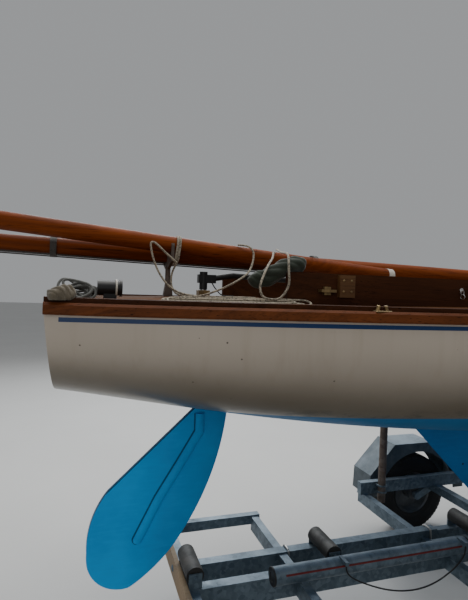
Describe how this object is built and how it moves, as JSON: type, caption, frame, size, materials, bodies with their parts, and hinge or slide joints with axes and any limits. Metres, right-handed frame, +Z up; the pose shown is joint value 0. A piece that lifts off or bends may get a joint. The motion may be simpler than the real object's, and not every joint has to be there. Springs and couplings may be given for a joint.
{
  "type": "sailing keelboat on road trailer",
  "caption": "Small wooden keelboat with fin keel, spade rudder and lashed spars, standing on its galvanised road trailer.",
  "frame": {"origin": "on the floor under the middle of the whole length, on the centre plane", "axes": "+X to the bow and the coupling, +Y to port, +Z up"},
  "size_m": [7.8806, 1.73, 1.9619],
  "materials": {
    "hull_paint": "satin",
    "deck_paint": "matte",
    "varnished_wood": "gloss",
    "spar_wood": "gloss",
    "bare_wood": "matte",
    "antifouling": "matte",
    "stock_steel": "satin",
    "black_fitting": "satin",
    "bronze": "satin",
    "stainless": "satin",
    "galvanised": "satin",
    "rusty_steel": "matte",
    "tyre": "matte",
    "rim_paint": "satin",
    "rubber": "matte"
  },
  "bodies": {
    "boat_and_trailer": {"hull_shell": "hull_paint", "deck": "deck_paint", "rub_rail_port": "varnished_wood", "rub_rail_starboard": "varnished_wood", "toe_rail_port": "varnished_wood", "toe_rail_starboard": "varnished_wood", "coaming": "varnished_wood", "floorboards": "bare_wood", "thwart": "varnished_wood", "mast_step": "bare_wood", "keel": "antifouling", "rudder_bearing": "bronze", "mast": "spar_wood", "boom": "spar_wood", "whisker_pole": "spar_wood", "stays": "stainless", "mast_crutch": "rusty_steel", "coaming_cheeks": "spar_wood", "bow_chock": "bare_wood", "chainplates": "stainless", "stem_fitting": "stainless", "cleats": "stainless", "stern_block": "black_fitting", "rear_beams": "galvanised", "front_beams": "galvanised", "cross_members": "galvanised", "front_cross_member": "galvanised", "rear_timber": "bare_wood", "side_bars": "galvanised", "side_rails": "galvanised", "axle": "galvanised", "mudguard_port": "galvanised", "mudguard_starboard": "galvanised", "hull_posts": "rusty_steel", "hull_pads": "rubber", "post_clamps": "galvanised", "roller_brackets": "galvanised", "keel_rollers": "rubber", "drawbar_port": "galvanised", "drawbar_starboard": "galvanised", "drawbar_head": "galvanised", "coupling": "galvanised", "winch_post": "galvanised", "bow_stop": "rubber", "winch": "galvanised", "stowed_tube": "galvanised", "trailer_cable": "black_fitting", "jockey_tube": "galvanised"},
    "rudder": {"rudder_blade": "antifouling", "rudder_stock": "stock_steel", "tiller": "black_fitting"},
    "wheel_port": {"tyre_port": "tyre", "rim_port": "rim_paint"},
    "wheel_starboard": {"tyre_starboard": "tyre", "rim_starboard": "rim_paint"},
    "roller_aft": {"roller_aft": "rubber"},
    "roller_middle": {"roller_middle": "rubber"},
    "roller_fore": {"roller_fore": "rubber"},
    "jockey_swivel": {"jockey_fork": "galvanised"},
    "jockey_wheel": {"jockey_wheel": "rubber"}
  },
  "joints": [
    {"name": "rudder_turn", "type": "hinge", "parent": "boat_and_trailer", "child": "rudder", "pos_m": [-2.094, 0, 1.4], "axis": [0, 0, 1], "range_deg": [-35, 35]},
    {"name": "wheel_port_spin", "type": "hinge", "parent": "boat_and_trailer", "child": "wheel_port", "pos_m": [-0.37, 0.77, 0.26], "axis": [0, 1, 0], "continuous": true},
    {"name": "wheel_starboard_spin", "type": "hinge", "parent": "boat_and_trailer", "child": "wheel_starboard", "pos_m": [-0.37, -0.77, 0.26], "axis": [0, 1, 0], "continuous": true},
    {"name": "roller_aft_spin", "type": "hinge", "parent": "boat_and_trailer", "child": "roller_aft", "pos_m": [-2.11, 0, 0.428], "axis": [0, 1, 0], "continuous": true},
    {"name": "roller_middle_spin", "type": "hinge", "parent": "boat_and_trailer", "child": "roller_middle", "pos_m": [-1.46, 0, 0.428], "axis": [0, 1, 0], "continuous": true},
    {"name": "roller_fore_spin", "type": "hinge", "parent": "boat_and_trailer", "child": "roller_fore", "pos_m": [-0.615, 0, 0.428], "axis": [0, 1, 0], "continuous": true},
    {"name": "jockey_swivel_turn", "type": "hinge", "parent": "boat_and_trailer", "child": "jockey_swivel", "pos_m": [3.65, 0.092, 0.3], "axis": [0, 0, 1], "continuous": true},
    {"name": "jockey_spin", "type": "hinge", "parent": "jockey_swivel", "child": "jockey_wheel", "pos_m": [3.602, 0.092, 0.1], "axis": [0, 1, 0], "continuous": true}
  ]
}
